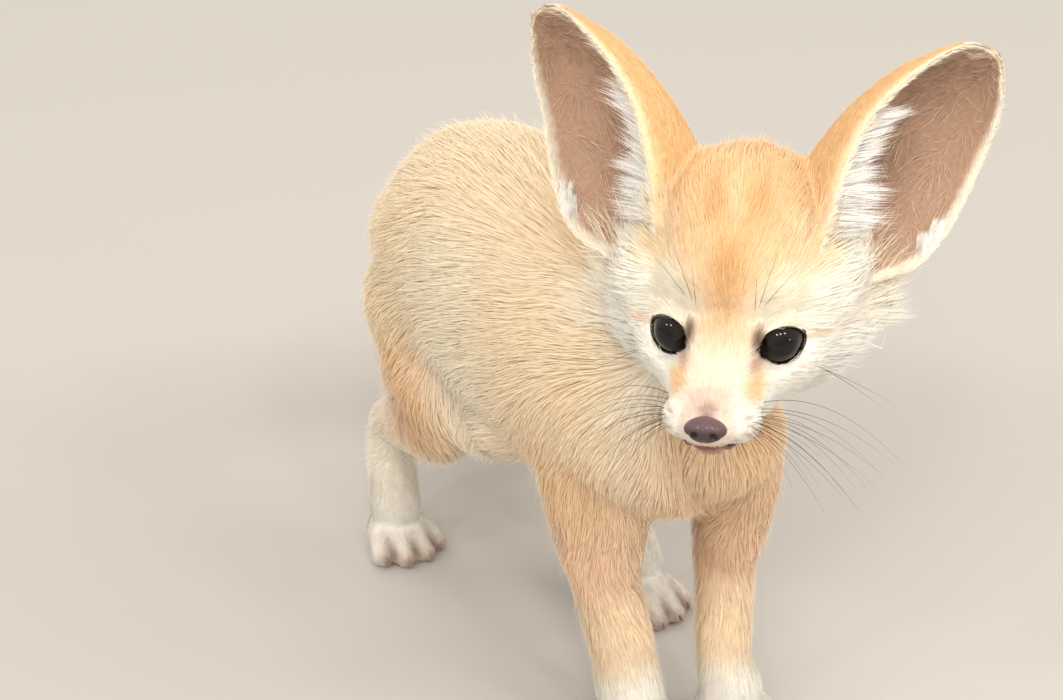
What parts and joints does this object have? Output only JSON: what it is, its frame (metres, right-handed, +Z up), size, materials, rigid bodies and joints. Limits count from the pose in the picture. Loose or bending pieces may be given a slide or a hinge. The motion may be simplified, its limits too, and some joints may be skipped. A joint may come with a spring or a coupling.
{
  "type": "fennec fox kit figure",
  "caption": "Life-size figure of a young fennec fox walking on all fours, head turned to its right, with very large cupped ears and a bushy low tail.",
  "frame": {"origin": "on the floor, under the middle of the figure's box", "axes": "+Z up; the fox faces -Y, so +Y runs along the body to the rump, and its left side is at +X"},
  "size_m": [0.1276, 0.2312, 0.2032],
  "materials": {
    "coat_body": "soft sandy cream fur",
    "coat_head": "soft golden tan fur",
    "coat_ear": "short tan fur over thin skin",
    "coat_pale": "short cream fur",
    "eye": "wet, near black",
    "nose": "bare plum brown skin, moist",
    "claw": "dull dark horn"
  },
  "bodies": {
    "root": {"head": "coat_head", "lower_jaw": "coat_pale", "neck": "coat_head", "ear_left": "coat_ear", "ear_right": "coat_ear", "eye_left": "eye", "eye_right": "eye", "nose": "nose", "torso": "coat_body", "tail_base": "coat_body", "tail_end": "coat_body", "upper_foreleg_left": "coat_body", "upper_foreleg_right": "coat_body", "lower_foreleg_left": "coat_pale", "lower_foreleg_right": "coat_pale", "forepaw_left": "coat_pale", "forepaw_right": "coat_pale", "thigh_left": "coat_body", "thigh_right": "coat_body", "shank_left": "coat_pale", "shank_right": "coat_pale", "hind_paw_left": "coat_pale", "hind_paw_right": "coat_pale"}
  },
  "joints": []
}
